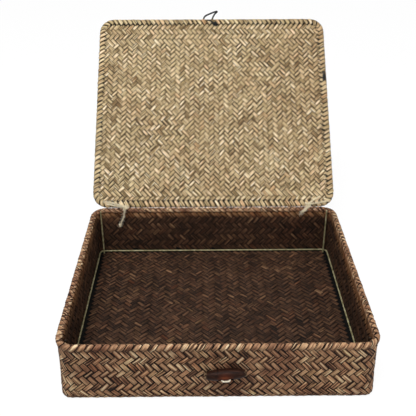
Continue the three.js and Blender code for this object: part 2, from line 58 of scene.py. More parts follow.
# Camera: straight in front of the box and above it, looking down by about 29 degrees.
# Its lens and place give the outline that the open box has in the photograph.
PITCH, YAW, ROLL = (math.radians(turn) for turn in (28.605, 0.418, -0.147))
CAMERA_AT = Vector((-16.56, -808.38, 620.82)) * MM
camera_lens = bpy.data.cameras.new("camera")
camera_lens.sensor_width = 36
camera_lens.lens = 58.31
camera = bpy.data.objects.new("camera", camera_lens)
bpy.context.scene.collection.objects.link(camera)
bpy.context.scene.camera = camera
forward = Vector((math.sin(YAW) * math.cos(PITCH), math.cos(YAW) * math.cos(PITCH), -math.sin(PITCH)))
level = Vector((math.cos(YAW), -math.sin(YAW), 0))
above = level.cross(forward)
right = level * math.cos(ROLL) + above * math.sin(ROLL)
upward = above * math.cos(ROLL) - level * math.sin(ROLL)
facing = Matrix((right, upward, -forward)).transposed().to_4x4()
camera.matrix_world = Matrix.Translation(CAMERA_AT) @ facing


# Wire frame: a hoop in the rim fold, a hoop round the floor, four upright corner wires and the
# hoop in the lid's edge. Plain steel wire, welded, with a thin olive-grey paint worn dull. The
# tops of the front uprights are coloured dark brown.
def colour(hex_code):
    """A written sRGB colour as the linear colour that a shader takes."""
    parts = [int(hex_code[at : at + 2], 16) / 255 for at in (0, 2, 4)]
    linear = [p / 12.92 if p <= 0.04045 else ((p + 0.055) / 1.055) ** 2.4 for p in parts]
    return (*linear, 1)


class Shader:
    """A material's node tree, built a node at a time."""

    def __init__(self, name, roughness=0.6, **values):
        self.material = bpy.data.materials.new(name)
        self.material.use_nodes = True
        self.tree = self.material.node_tree
        self.surface = self.tree.nodes["Principled BSDF"]
        self.surface.inputs["Roughness"].default_value = roughness
        for socket, value in values.items():
            self.surface.inputs[socket.replace("_", " ")].default_value = value

    def link(self, output, socket):
        self.tree.links.new(output, socket)

    def fill(self, socket, value):
        if isinstance(value, bpy.types.NodeSocket):
            self.link(value, socket)
        else:
            socket.default_value = value

    def node(self, kind, **settings):
        made = self.tree.nodes.new("ShaderNode" + kind)
        for name, value in settings.items():
            setattr(made, name, value)
        return made

    def math(self, operation, first, second=0.0, clamp=False):
        made = self.node("Math", operation=operation, use_clamp=clamp)
        self.fill(made.inputs[0], first)
        self.fill(made.inputs[1], second)
        return made.outputs[0]

    def mix(self, share, first, second, blend="MIX"):
        made = self.node("Mix", data_type="RGBA", blend_type=blend)
        self.fill(made.inputs[0], share)
        self.fill(made.inputs[6], first)
        self.fill(made.inputs[7], second)
        return made.outputs[2]

    def ramp(self, value, stops):
        made = self.node("ValToRGB")
        elements = made.color_ramp.elements
        while len(elements) < len(stops):
            elements.new(1)
        for element, (at, code) in zip(elements, stops):
            element.position = at
            element.color = colour(code)
        self.fill(made.inputs[0], value)
        return made.outputs[0]

    def span(self, value, low, high, to_low=0.0, to_high=1.0):
        made = self.node("MapRange")
        for socket, given in zip(made.inputs, (value, low, high, to_low, to_high)):
            self.fill(socket, given)
        return made.outputs[0]

    def attribute(self, name):
        return self.node("Attribute", attribute_name=name).outputs["Fac"]

    def stretched(self, source, scale):
        made = self.node("Mapping")
        made.inputs["Scale"].default_value = scale
        self.link(source, made.inputs["Vector"])
        return made.outputs[0]

    def place(self):
        return self.node("TexCoord").outputs["Object"]

    def apart(self, vector):
        made = self.node("SeparateXYZ")
        self.link(vector, made.inputs[0])
        return made.outputs[:3]

    def noise(self, source, scale, detail=3.0, roughness=0.55):
        made = self.node("TexNoise")
        made.inputs["Scale"].default_value = scale
        made.inputs["Detail"].default_value = detail
        made.inputs["Roughness"].default_value = roughness
        self.link(source, made.inputs["Vector"])
        return made.outputs[0]

    def bump(self, height, distance, strength=1.0):
        made = self.node("Bump")
        made.inputs["Distance"].default_value = distance
        made.inputs["Strength"].default_value = strength
        self.link(height, made.inputs["Height"])
        self.link(made.outputs[0], self.surface.inputs["Normal"])

    def paint(self, result):
        self.link(result, self.surface.inputs["Base Color"])

    def dull(self, result):
        self.link(result, self.surface.inputs["Roughness"])


def dress(piece, shader):
    piece.data.materials.clear()
    piece.data.materials.append(shader.material)


wire = Shader("painted_wire", roughness=0.5, Metallic=0.25)
blotches = wire.noise(wire.place(), 220, detail=4)
paint = wire.ramp(blotches, [(0.3, "726b4a"), (0.52, "aba37b"), (0.72, "d0c9a4")])
_, wire_y, wire_z = wire.apart(wire.place())
front_tops = wire.math("MULTIPLY", wire.span(wire_y, -0.1, -0.11), wire.span(wire_z, 0.05, 0.06))
wire.paint(wire.mix(front_tops, paint, colour("2c2118")))
wire.dull(wire.span(blotches, 0.3, 0.7, 0.5, 0.3))
wire.bump(wire.noise(wire.place(), 900), 0.0001)
for name, node in nodes.items():
    if name.startswith("frame_") or name == "lid_hoop":
        dress(node, wire)


# Outer mat of the box: stained seagrass strips plaited on the bias, each going over two and
# under two, so that the floats lie in level rows. The top row folds over the rim hoop.
CORE_DEPTH, STRIP_RISE = 0.8, 1.05


def deselect():
    if bpy.context.object and bpy.context.object.mode == "EDIT":
        bpy.ops.object.mode_set(mode="OBJECT")
    bpy.ops.object.select_all(action="DESELECT")


def pick(piece):
    """Leaves this piece alone selected, and active."""
    deselect()
    piece.select_set(True)
    bpy.context.view_layer.objects.active = piece


def float_form(along, across, crown):
    """One float of a strip, as points (along, across, height) and faces. Along runs from -1 to 1
    over the two cells that show, and its ends go on under the crossing strips."""
    deselect()
    bpy.ops.mesh.primitive_grid_add(x_subdivisions=len(along) - 1, y_subdivisions=len(across) - 1, size=2)
    form = bpy.context.object
    bpy.ops.object.mode_set(mode="EDIT")
    bpy.ops.mesh.select_all(action="DESELECT")
    bpy.ops.mesh.select_non_manifold()
    bpy.ops.mesh.edge_face_add()
    bpy.ops.object.mode_set(mode="OBJECT")
    points = np.array([vertex.co for vertex in form.data.vertices])
    columns = np.rint((points[:, 0] + 1) / 2 * (len(along) - 1)).astype(int)
    lanes = np.rint((points[:, 1] + 1) / 2 * (len(across) - 1)).astype(int)
    stations = np.array(along)
    dips = np.interp(np.abs(stations), [0, 0.6, 0.88, 1, 1.3], [1, 1, 0.93, 0.5, -0.75])
    points = np.stack(
        (stations[columns], np.array(across)[lanes], dips[columns] + np.array(crown)[lanes]), axis=1
    )
    faces = [list(face.vertices) for face in form.data.polygons]
    bottom = [face for face in form.data.polygons if len(face.vertices) > 4][0]
    if bottom.normal.z > 0:
        faces[bottom.index].reverse()
    bpy.data.objects.remove(form)
    return points, faces


LANES, CROWN = (-1, -0.86, 0, 0.86, 1), (-0.55, 0, -0.06, 0, -0.55)
WALL_FLOAT = float_form((-1.3, -1, -0.86, 0, 0.86, 1, 1.3), LANES, CROWN)
FOLD_FLOAT = float_form((-1.3, -1, -0.84, -0.5, -0.25, 0, 0.25, 0.5, 0.84, 1, 1.3), LANES, CROWN)
PLAIN_FLOAT = float_form((-1.3, -1, -0.84, 0.84, 1, 1.3), (-1, -0.8, 0.8, 1), (-0.42, 0, 0, -0.42))


def placed_floats(
    form, floats, half_cell, surface, draw, width=0.97, dye_and_shade_share=1.0, lightening=0.0, proud=0.0, variety=1.0
):
    """Copies of one float laid on a mat. Floats are rows of (u, v, slant, cells, strip), and
    surface turns their u, v and height into points. Each strip has its own width and colour along
    its whole length. The dye share says how far the dye has reached it at each u and v, and on the
    lining also carries painted light and shade; the lightening how much lighter its tone is, on the
    fold partly wear and partly painted light; proud how far it bulges out, and variety how mixed its
    colours are."""
    points, faces = form
    u, v, slant, cells, strip = np.asarray(floats, float).T
    count, size = len(u), len(points)
    strips, odd_share, widest = 4096, 0.04, 1.08
    own = (strip.astype(int) * 2 + (slant > 0)) % strips
    strip_tone, strip_hue, strip_wear, strip_width = draw.normal(0, 1, (4, strips))[:, own]
    pale, narrow, tanned = draw.random((3, count)) < odd_share
    tone = 0.5 + lightening + variety * (0.03 * strip_tone + draw.normal(0, 0.035, count) + 0.11 * pale)
    hue = 0.5 + variety * (0.06 * strip_hue + draw.normal(0, 0.05, count) + 0.17 * tanned)
    widths = width * (1 + 0.05 * strip_width + draw.normal(0, 0.03, count) + 0.05 * pale - 0.14 * narrow)
    widths = np.minimum(widths, widest)
    skew, reach = draw.normal(0, 0.04, count), 1 + draw.normal(0, 0.025, count)
    rise, tilt = draw.normal(0, 0.12, count), draw.normal(0, 0.12, count)
    stations = points[:, 0]
    seen = np.clip(stations, -1, 1)
    along = seen[None] * (cells * reach / 2)[:, None] + (stations - seen)[None]
    across = (points[:, 1][None] + skew[:, None] * stations[None]) * widths[:, None] / 2
    hx, hy = half_cell
    at_u = u[:, None] + hx * (along - across * slant[:, None])
    at_v = v[:, None] + hy * (along * slant[:, None] + across)
    height = points[:, 2][None] + rise[:, None] + tilt[:, None] * points[:, 1][None]
    placed = surface(at_u.ravel(), at_v.ravel(), (height * STRIP_RISE - CORE_DEPTH + proud).ravel())
    dye_and_shade = dye_and_shade_share(at_u.ravel(), at_v.ravel()) if callable(dye_and_shade_share) else np.full(count * size, dye_and_shade_share)
    return {
        "points": placed,
        "faces": [[corner + at * size for corner in face] for at in range(count) for face in faces],
        "tone": np.repeat(np.clip(tone, 0, 1), size),
        "hue": np.repeat(np.clip(hue, 0, 1), size),
        "wear": np.repeat(np.clip(0.5 + 0.3 * strip_wear, 0, 1), size),
        "lift": np.tile(np.clip(points[:, 2] * 0.5 + 0.5, 0, 1), count),
        "dye_and_shade": dye_and_shade,
        "strip": np.stack(
            (
                (along * 0.7 + draw.uniform(0, 90, count)[:, None]).ravel(),
                np.broadcast_to(points[:, 1][None] * 0.5 + 0.5, along.shape).ravel(),
            ),
            1,
        ),
    }


def mesh_piece(name, parts, labels=("tone",)):
    """One piece made of several parts, with their point values and their strip map."""
    starts = np.cumsum([0] + [len(part["points"]) for part in parts])
    mesh = bpy.data.meshes.new(name)
    points = np.concatenate([part["points"] for part in parts])
    faces = [
        [corner + start for corner in face] for part, start in zip(parts, starts) for face in part["faces"]
    ]
    mesh.from_pydata(points.tolist(), [], faces)
    corners = np.empty(len(mesh.loops), int)
    mesh.loops.foreach_get("vertex_index", corners)
    strip = np.concatenate([part["strip"] for part in parts])
    mesh.uv_layers.new(name="strip").data.foreach_set("uv", strip[corners].ravel())
    for label in labels:
        values = np.concatenate([part[label] for part in parts]).astype(np.float32)
        mesh.attributes.new(label, "FLOAT", "POINT").data.foreach_set("value", values)
    piece = bpy.data.objects.new(name, mesh)
    bpy.context.scene.collection.objects.link(piece)
    return piece


def core_of(node_name):
    """The mat behind its top strips: the CAD mat's own form, drawn in by the strips' depth."""
    backing = bpy.data.objects.new(node_name + "_core", nodes[node_name].data.copy())
    bpy.context.scene.collection.objects.link(backing)
    pick(backing)
    bpy.ops.object.mode_set(mode="EDIT")
    bpy.ops.mesh.select_all(action="SELECT")
    bpy.ops.mesh.remove_doubles(threshold=1e-6)
    bpy.ops.transform.shrink_fatten(value=-CORE_DEPTH * MM)
    bpy.ops.object.mode_set(mode="OBJECT")
    return backing


def woven(name, parts, core):
    """A plaited mat: its floats, on a core that is the CAD mat's form."""
    piece = mesh_piece(name, parts, ("tone", "hue", "wear", "lift", "dye_and_shade"))
    backing = core_of(core)
    pick(piece)
    backing.select_set(True)
    bpy.ops.object.join()
    bpy.ops.object.shade_smooth_by_angle(angle=math.radians(26))
    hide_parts(core)
    return piece


def plan_place(u, inset, corner, width, depth):
    """Points and outward normals round a rounded rectangle, u from 0 to 1 counterclockwise from
    the middle of the front side."""
    mid_inset, mid_corner = 1.5, 20
    long, short = width - 2 * (mid_inset + mid_corner), depth - 2 * (mid_inset + mid_corner)
    bend = mid_corner * math.pi / 2
    lengths = np.array([long / 2, bend, short, bend, long, bend, short, bend, long / 2])
    marks = np.concatenate(([0], np.cumsum(lengths))) / lengths.sum()
    u = np.mod(u, 1)
    part = np.clip(np.searchsorted(marks, u, side="right") - 1, 0, 8)
    share = (u - marks[part]) / (marks[part + 1] - marks[part])
    half_x, half_y = width / 2 - inset - corner, depth / 2 - inset - corner
    x, y, nx, ny = (np.zeros_like(u) for _ in range(4))
    straights = {
        0: (0, half_x, None, -1),
        4: (half_x, -half_x, None, 1),
        8: (-half_x, 0, None, -1),
        2: (None, None, 1, None),
        6: (None, None, -1, None),
    }
    for index, (start, end, side, facing) in straights.items():
        here = part == index
        if side is None:
            first = start if np.isscalar(start) else start[here]
            last = end if np.isscalar(end) else end[here]
            x[here] = first + (last - first) * share[here]
            y[here] = facing * (half_y[here] + corner[here])
            ny[here] = facing
        else:
            y[here] = side * half_y[here] * (2 * share[here] - 1)
            x[here] = side * (half_x[here] + corner[here])
            nx[here] = side
    for index, (side_x, side_y, start) in {
        1: (1, -1, -90),
        3: (1, 1, 0),
        5: (-1, 1, 90),
        7: (-1, -1, 180),
    }.items():
        here = part == index
        angle = np.radians(start + 90 * share[here])
        nx[here], ny[here] = np.cos(angle), np.sin(angle)
        x[here] = side_x * half_x[here] + corner[here] * nx[here]
        y[here] = side_y * half_y[here] + corner[here] * ny[here]
    return x, y, nx, ny


def swept_surface(profile, width, depth, corner_at, smoothing):
    """The face that a profile of (inset, z) points sweeps round the plan, in millimetres. Its v is
    the length along the profile, and its height stands off to the left-hand side of outwards."""
    spacing, spare, kernel_half = 0.25, 4, 16
    profile = np.array(profile)
    run = np.concatenate(([0], np.cumsum(np.hypot(*np.diff(profile, axis=0).T))))
    fine = np.arange(-spare, run[-1] + spare, spacing)
    inset = np.interp(fine, run, profile[:, 0])
    z = np.interp(fine, run, profile[:, 1])
    for ends, pair in ((fine < 0, (0, 1)), (fine > run[-1], (-2, -1))):
        step = (profile[pair[1]] - profile[pair[0]]) / (run[pair[1]] - run[pair[0]])
        from_point = profile[0] if pair[0] == 0 else profile[-1]
        beyond = fine[ends] - (0 if pair[0] == 0 else run[-1])
        inset[ends], z[ends] = from_point[0] + step[0] * beyond, from_point[1] + step[1] * beyond
    kernel = np.exp(-((np.arange(-kernel_half, kernel_half + 1) * spacing / smoothing) ** 2) / 2)
    kernel /= kernel.sum()
    inset, z = (
        np.convolve(np.pad(line, kernel_half, mode="edge"), kernel, mode="valid") for line in (inset, z)
    )
    out_step, up_step = -np.gradient(inset), np.gradient(z)
    size = np.hypot(out_step, up_step)
    normal_out, normal_up = up_step / size, -out_step / size

    def surface(u, v, height):
        here_inset, here_z = np.interp(v, fine, inset), np.interp(v, fine, z)
        n_out, n_up = np.interp(v, fine, normal_out), np.interp(v, fine, normal_up)
        x, y, nx, ny = plan_place(u, here_inset, corner_at(here_z, here_inset), width, depth)
        return np.stack((x + nx * n_out * height, y + ny * n_out * height, here_z + n_up * height), 1) * MM

    return surface, run[-1]


basket_low, basket_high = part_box("outer_basket")
BOX_WIDTH, BOX_DEPTH, BOX_HEIGHT = (basket_high - basket_low) / MM
rim_hoop_low, rim_hoop_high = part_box("frame_rim_hoop")
FOLD_Z = (rim_hoop_low.z + rim_hoop_high.z) / 2 / MM
FOLD_RADIUS = BOX_HEIGHT - FOLD_Z
RIM_OVERHANG, WAIST, BASE_CORNER, RIM_CORNER, SMALLEST_CORNER = 1.2, 0.8, 14, 24, 2


def wall_inset(z):
    share = np.clip(z / FOLD_Z, 0, 1)
    return RIM_OVERHANG + 4 * WAIST * share * (1 - share)


def box_corner(z, inset):
    share = np.clip(z / FOLD_Z, 0, 1)
    return np.maximum(BASE_CORNER + (RIM_CORNER - BASE_CORNER) * share - inset, SMALLEST_CORNER)


def arc(centre_inset, centre_z, radius, start, end, steps):
    turns = np.radians(np.linspace(start, end, steps))
    return [(centre_inset - radius * math.cos(t), centre_z + radius * math.sin(t)) for t in turns]


def wall_rows(row_heights, first_row, top, around):
    """Floats in level rows round the box. Row 0 slants up to the right, and the rows under it
    take turns. Returns the floats with rows as the v unit, and the map from rows to lengths."""
    edges = np.concatenate(([0], np.cumsum(row_heights)))
    floats = []
    for index in range(len(row_heights)):
        row = index + first_row
        rising = row % 2 == 0
        for place in range(around):
            phase = 0.75 if rising else 0.25
            strip = (place + row) % around if rising else (place - row) % around
            floats.append((place + phase, -(index + 0.5), 1 if rising else -1, 2, strip))

    def run_down(rows):
        marks = np.concatenate(([-row_heights[0]], edges, [edges[-1] + row_heights[-1]]))
        return top - np.interp(-rows, np.arange(-1, len(edges) + 1), marks)

    return floats, run_down


def plait_shader(name, stops, undyed_and_lit, clouds, roughness, streaks, crease_shade):
    """Flat dried strips: fibres along each, its own cast of olive, tan or pink, painted shade where it
    dips and along its edges. The undyed colours go where the dye hasn't reached and where light is
    painted on the lining. Clouds are a colour and share; the right side of the lid is a bit darker."""
    strip = Shader(name, roughness=roughness, Specular_IOR_Level=0.2)
    along = strip.node("UVMap", uv_map="strip").outputs[0]
    ridges = strip.noise(strip.stretched(along, (0.3, 2.6, 1)), 1.0, detail=1, roughness=0.5)
    fibres = strip.noise(strip.stretched(along, (0.8, 12, 1)), 1.0, detail=3, roughness=0.6)
    flecks = strip.noise(strip.stretched(along, (2.2, 2.5, 1)), 1.0, detail=2)
    grain = strip.math("ADD", strip.math("MULTIPLY", ridges, 0.7), strip.math("MULTIPLY", fibres, 0.3))
    worn = strip.span(strip.attribute("wear"), 0, 1, 0.4 * streaks, 1.6 * streaks)
    streak = strip.math("MULTIPLY", strip.span(grain, 0.38, 0.62, -0.12, 0.12), worn)
    fleck = strip.math("MULTIPLY", strip.math("SUBTRACT", flecks, 0.5), 0.3)
    tone = strip.math("ADD", strip.attribute("tone"), strip.math("ADD", streak, fleck), clamp=True)
    # the dye share also carries the lining's painted light and shade
    dye_and_shade = strip.attribute("dye_and_shade")
    base = strip.mix(dye_and_shade, strip.ramp(tone, undyed_and_lit), strip.ramp(tone, stops))
    # painted shade: each strip is darkened along both its edges, as the shade between floats
    off_middle = strip.math("ABSOLUTE", strip.math("SUBTRACT", strip.apart(along)[1], 0.5))
    painted_edge_shade = strip.span(off_middle, 0.37, 0.5, 1.0, 0.5)
    base = strip.mix(1.0, base, painted_edge_shade, blend="MULTIPLY")
    cast = strip.ramp(
        strip.attribute("hue"),
        [(0.1, "dedfca"), (0.32, "f2f2e6"), (0.5, "ffffff"), (0.68, "fff0e8"), (0.9, "f5cfb8")],
    )
    base = strip.mix(1.0, base, cast, blend="MULTIPLY")
    cloud_colour, cloud_share = clouds
    cloudy = strip.span(strip.noise(strip.place(), 22, detail=3), 0.38, 0.64)
    clouded = strip.math("MULTIPLY", strip.math("MULTIPLY", cloudy, cloud_share), dye_and_shade)
    base = strip.mix(clouded, base, colour(cloud_colour), blend="MULTIPLY")
    # the right side, above the box's height, is made a little darker
    at_x, _, at_z = strip.apart(strip.place())
    right_side_darker = strip.math("MULTIPLY", strip.span(at_x, 0.08, 0.19), strip.span(at_z, 0.09, 0.2))
    base = strip.mix(strip.math("MULTIPLY", right_side_darker, 0.25), base, colour("d9c6ba"), blend="MULTIPLY")
    # painted shade: each float is darkened by its height, where it dips under the crossing strips
    depth = strip.ramp(strip.attribute("lift"), crease_shade)
    strip.paint(strip.mix(1.0, base, depth, blend="MULTIPLY"))
    strip.dull(strip.span(grain, 0.3, 0.7, roughness + 0.12, roughness - 0.08))
    strip.bump(grain, 0.0005)
    return strip


UNDYED = [(0.05, "7b6546"), (0.3, "b29b73"), (0.55, "d5be94"), (0.8, "ecdab3"), (1, "f9eed5")]
stained = plait_shader(
    "stained_seagrass",
    [(0.05, "2d1b10"), (0.3, "74543f"), (0.55, "b08766"), (0.8, "d9b388"), (1, "f2dbb3")],
    UNDYED,
    clouds=("ab8d8c", 0.7),
    roughness=0.62,
    streaks=3.5,
    crease_shade=[(0.5, "040302"), (0.77, "2a211c"), (0.97, "ffffff")],
)

FLOATS_AROUND = 150
BASE_EDGE = 6
WALL_UNDER_FOLD = FOLD_Z - 3
outer_profile = [
    *arc(BASE_EDGE + wall_inset(BASE_EDGE), BASE_EDGE, BASE_EDGE, -90, 0, 9),
    *[(wall_inset(z), z) for z in np.linspace(BASE_EDGE + 1, WALL_UNDER_FOLD, 40)],
    *arc(FOLD_RADIUS, FOLD_Z, FOLD_RADIUS, -46, 235, 40),
]
outer_face, outer_length = swept_surface(outer_profile, BOX_WIDTH, BOX_DEPTH, box_corner, smoothing=0.6)
OUTER_ROWS = (6.5, 12.5, 11.6, 8.7, 12.3, 8.7, 11.9, 10.3, 8.4, 9.7)
outer_floats, outer_run = wall_rows(OUTER_ROWS, -1, outer_length, FLOATS_AROUND)
SHOULDER, SHOULDER_DOWN, SHOULDER_SPREAD = 0.4, 12.2, 2.5
fold_floats = [place for place in outer_floats if place[1] > -2]
side_floats = [place for place in outer_floats if place[1] < -2]


def outer_place(u, v, height):
    """A point on the wall, which stands out a little in a shoulder on the fold's top."""
    run = outer_run(v)
    bulge = SHOULDER * np.exp(-(((run - outer_length + SHOULDER_DOWN) / SHOULDER_SPREAD) ** 2))
    return outer_face(u / FLOATS_AROUND, run, height + bulge)


def panel_floats(columns, rows, pattern):
    """Floats on a flat mat, in half cells from its low corner. The pattern gives 0 where they lie
    in columns, and 1 or -1 where they lie in level rows that start up or down to the right."""
    reach = columns + rows + 4
    across = np.arange(-reach, reach)
    i, j = np.meshgrid(across, across, indexing="ij")
    u, v = i + j + 1, j - i + 0.5
    inside = (u > 0) & (u < columns) & (v > 0) & (v < rows)
    kind = pattern(u, v)
    over = np.where(kind == 0, (i + j) % 4 < 2, ((j - i) % 4 < 2) == (kind > 0))
    floats = []
    for slant, shown in ((1, over & inside), (-1, (~over & inside).T)):
        for line in range(len(across)):
            ends = np.flatnonzero(np.diff(np.concatenate(([0], shown[line].astype(int), [0]))))
            for start, end in zip(ends[::2], ends[1::2]):
                middle = across[0] * 2 + start + end
                own = 2 * across[line] + 1
                s, t = (own, middle) if slant > 0 else (middle, own)
                floats.append(((s + t) / 2, (t - s) / 2 + 0.5, slant, end - start, line))
    return floats


def kept_in(x, y, width, depth, inset, corner):
    """Points drawn back to a rounded rectangle's edge where they pass it."""
    reach_x, reach_y = width / 2 - inset - corner, depth / 2 - inset - corner
    near_x, near_y = np.clip(x, -reach_x, reach_x), np.clip(y, -reach_y, reach_y)
    off_x, off_y = x - near_x, y - near_y
    off = np.maximum(np.hypot(off_x, off_y), 1e-9)
    share = np.minimum(1, corner / off)
    return near_x + off_x * share, near_y + off_y * share


FLOOR_HALF_CELL, FLOOR_MARGIN, UNDERSIDE_CORNER = 4.9, 9, 10
FLOOR_COLUMNS, FLOOR_ROWS = (
    int((size - 2 * FLOOR_MARGIN) / FLOOR_HALF_CELL) for size in (BOX_WIDTH, BOX_DEPTH)
)


def floor_pattern(u, v):
    """Level rows near the front and back edges and in two patches, as the plaiter turned them."""
    share_x = np.abs(u - FLOOR_COLUMNS / 2) / (FLOOR_COLUMNS / 2)
    share_y = np.abs(v - FLOOR_ROWS / 2) / (FLOOR_ROWS / 2)
    patches = np.abs(share_x - 0.3) + share_y < 0.22
    return ((share_y > 0.8) | patches | (share_x + share_y > 1.55)).astype(int)


floor_floats = panel_floats(FLOOR_COLUMNS, FLOOR_ROWS, floor_pattern)


def floor_plan(u, v, inset, corner):
    x, y = (u - FLOOR_COLUMNS / 2) * FLOOR_HALF_CELL, (v - FLOOR_ROWS / 2) * FLOOR_HALF_CELL
    return kept_in(x, y, BOX_WIDTH, BOX_DEPTH, inset, corner)


def underside_place(u, v, height):
    x, y = floor_plan(u, v, BASE_EDGE, UNDERSIDE_CORNER)
    return np.stack((x, -y, -np.minimum(height, -0.1)), 1) * MM


draw = np.random.default_rng(3)
ROW_CELL, PANEL_CELL = (0.5, 0.5), (1, 1)
outer_basket = woven(
    "outer_basket_plait",
    [
        placed_floats(
            WALL_FLOAT, side_floats, ROW_CELL, outer_place, draw, width=0.88, lightening=0.015, variety=0.85
        ),
        # partly wear and partly painted light: the fold's floats are made lighter, as light from above falls
        # on the rim
        placed_floats(
            FOLD_FLOAT,
            fold_floats,
            ROW_CELL,
            outer_place,
            draw,
            width=0.98,
            lightening=0.04,
            proud=0.5,
            variety=0.35,
        ),
        placed_floats(PLAIN_FLOAT, floor_floats, PANEL_CELL, underside_place, draw),
    ],
    "outer_basket",
)
dress(outer_basket, stained)
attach(outer_basket, "basket")


# Lining: a second plaited mat inside the first, dipped in a darker stain and painted darker still
# as shade inside the box, with its top edge tucked up under the rim fold.
dark = plait_shader(
    "dark_seagrass",
    [(0.05, "150d08"), (0.35, "36251a"), (0.6, "543a2a"), (0.85, "775840"), (1, "9b7a5a")],
    [(0.05, "26170d"), (0.3, "64432c"), (0.55, "966a48"), (0.8, "b98e67"), (1, "d6b48a")],
    clouds=("8a7f78", 0.5),
    roughness=0.66,
    streaks=2.0,
    crease_shade=[(0.45, "0e0a08"), (0.74, "4a4038"), (0.95, "ffffff")],
)
MAT = 2
lining_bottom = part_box("inner_basket")[0].z / MM
LINING_FACE = FLOOR_TOP = lining_bottom + MAT
LINING_TOP = FOLD_Z - FOLD_RADIUS + 0.6
lining_foot = wall_inset(BASE_EDGE) + LINING_FACE
lining_profile = [
    *[(wall_inset(z) + LINING_FACE, z) for z in np.linspace(LINING_TOP, FLOOR_TOP + 1.4, 50)],
    (lining_foot, FLOOR_TOP + 0.7),
    (lining_foot, FLOOR_TOP + 0.1),
    (lining_foot + 0.6, FLOOR_TOP - 0.2),
    (lining_foot + 5, FLOOR_TOP - 0.2),
]
lining_face, _ = swept_surface(lining_profile, BOX_WIDTH, BOX_DEPTH, box_corner, smoothing=0.3)
LINING_ROWS = (10.6,) * 7
# painted light: the lighter undyed colours at the lining's top fade out downwards, over a longer reach on the
# two side walls
DYE_LINE, DYE_AND_SHADE_FADE, SIDE_LIGHT_FADE = 3, 8, 15
lining_floats, lining_run = wall_rows(LINING_ROWS, 1, sum(LINING_ROWS), FLOATS_AROUND)


def lining_place(u, v, height):
    return lining_face(u / FLOATS_AROUND, lining_run(v), height)


def lining_dye_and_shade(around, rows):
    """The dye stops short of the lining's top row, and the lighter undyed colours reach further down
    on the two side walls: painted light, falling in at the open top."""
    beside = np.sin(2 * math.pi * around / FLOATS_AROUND) ** 2
    return np.clip((lining_run(rows) - DYE_LINE) / (DYE_AND_SHADE_FADE + SIDE_LIGHT_FADE * beside**2), 0, 1)


INNER_MARGIN, INNER_CORNER, FLOAT_TOP = LINING_FACE + 3.2, 9, 0.25


def floor_place(u, v, height):
    x, y = floor_plan(u, v, INNER_MARGIN, INNER_CORNER)
    return np.stack((x, y, FLOOR_TOP + np.minimum(height, FLOAT_TOP)), 1) * MM


lining = woven(
    "inner_basket_plait",
    [
        placed_floats(WALL_FLOAT, lining_floats, ROW_CELL, lining_place, draw, dye_and_shade_share=lining_dye_and_shade),
        placed_floats(PLAIN_FLOAT, floor_floats, PANEL_CELL, floor_place, draw),
    ],
    "inner_basket",
)
dress(lining, dark)
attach(lining, "basket")


# Lid: an undyed mat inside and a stained mat outside, whose edge is folded round the lid's own
# wire hoop and over the inner mat's edge. The strips are finer than those of the box.
lid_hinge = next(joint for joint in frame["joints"] if joint["name"] == "lid_hinge")
HINGE = Vector(lid_hinge["pos_m"]) / MM
LID_TURN = -math.radians(lid_hinge["range_deg"][1])
LID_MIDDLE, LID_HALF = FOLD_RADIUS, MAT + 0.15
LID_AROUND, LID_HALF_CELL = 172, 4.22
BAND, MAT_MARGIN, MAT_CORNER = 9.6, 7.4, 16


def on_lid(x, reach, z):
    """Points of the closed lid, by their reach from the hinge line, turned to the open lid."""
    turn_cos, turn_sin = math.cos(LID_TURN), math.sin(LID_TURN)
    y, z = -reach * turn_cos - z * turn_sin, -reach * turn_sin + z * turn_cos
    return np.stack((x, HINGE.y + y, HINGE.z + z), 1) * MM


# Half cells counted from the hinge side, and how far from the hinge each lies
LID_MARKS = np.array(
    [(-2, 1), (0, 9), (2, 17), (4, 25.8), (6, 35), (64, 303), (68, 322.4), (72, 342), (74, 352)]
)
LID_ROWS = 72
LID_COLUMNS = 2 * int((BOX_WIDTH / 2 - BAND) / LID_HALF_CELL + 1)


def lid_plan(u, v):
    x, y = (u - LID_COLUMNS / 2) * LID_HALF_CELL, np.interp(v, *LID_MARKS.T) - BOX_DEPTH / 2
    x, y = kept_in(x, y, BOX_WIDTH, BOX_DEPTH, MAT_MARGIN, MAT_CORNER)
    return x, y + BOX_DEPTH / 2


def lid_inner_place(u, v, height):
    x, reach = lid_plan(u, v)
    return on_lid(x, reach, LID_MIDDLE - LID_HALF - height)


def lid_outer_place(u, v, height):
    x, reach = lid_plan(u, v)
    return on_lid(x, BOX_DEPTH - reach, LID_MIDDLE + LID_HALF + height)


def lid_pattern(u, v):
    """Where the lid's plait lies in level rows: along both short ends and in a few patches."""
    x, reach = (u - LID_COLUMNS / 2) * LID_HALF_CELL, np.interp(v, *LID_MARKS.T)
    patch = np.abs(x - 78) + np.abs(reach - 244) < 48
    left_patch = np.abs(x + 84) + np.abs(reach - 138) < 52
    return np.where(v > 64, -1, ((v < 4) | patch | left_patch).astype(int))


def lid_corner(z, inset):
    return np.maximum(RIM_CORNER - inset, SMALLEST_CORNER)


edge_profile = [
    (BAND + 1.2, 0.95),
    (8.4, 0.8),
    (6.4, 0.45),
    *arc(LID_MIDDLE, LID_MIDDLE, FOLD_RADIUS, -112, 138, 40),
    (9, LID_MIDDLE + LID_HALF),
    (12, LID_MIDDLE + LID_HALF),
]
edge_face, edge_length = swept_surface(edge_profile, BOX_WIDTH, BOX_DEPTH, lid_corner, smoothing=0.6)
edge_floats, edge_run = wall_rows((edge_length - 14.3, 12.1), 0, edge_length - 1, LID_AROUND)
RIDGE, RIDGE_AT, RIDGE_SPREAD = 0.9, 12.4, 2.2


def edge_place(u, v, height):
    """A point on the lid's edge, whose folded strips stand up in a ridge along their middle."""
    run = edge_run(v)
    bulge = RIDGE * np.exp(-(((run - RIDGE_AT) / RIDGE_SPREAD) ** 2))
    x, y, z = edge_face(u / LID_AROUND, run, height + bulge).T / MM
    return on_lid(x, BOX_DEPTH / 2 - y, z)


def dye_of_edge(_, rows):
    """The lid was stained from outside, and the stain stops on the fold of its edge."""
    return np.clip((edge_run(rows) - 12) / 2, 0, 1)


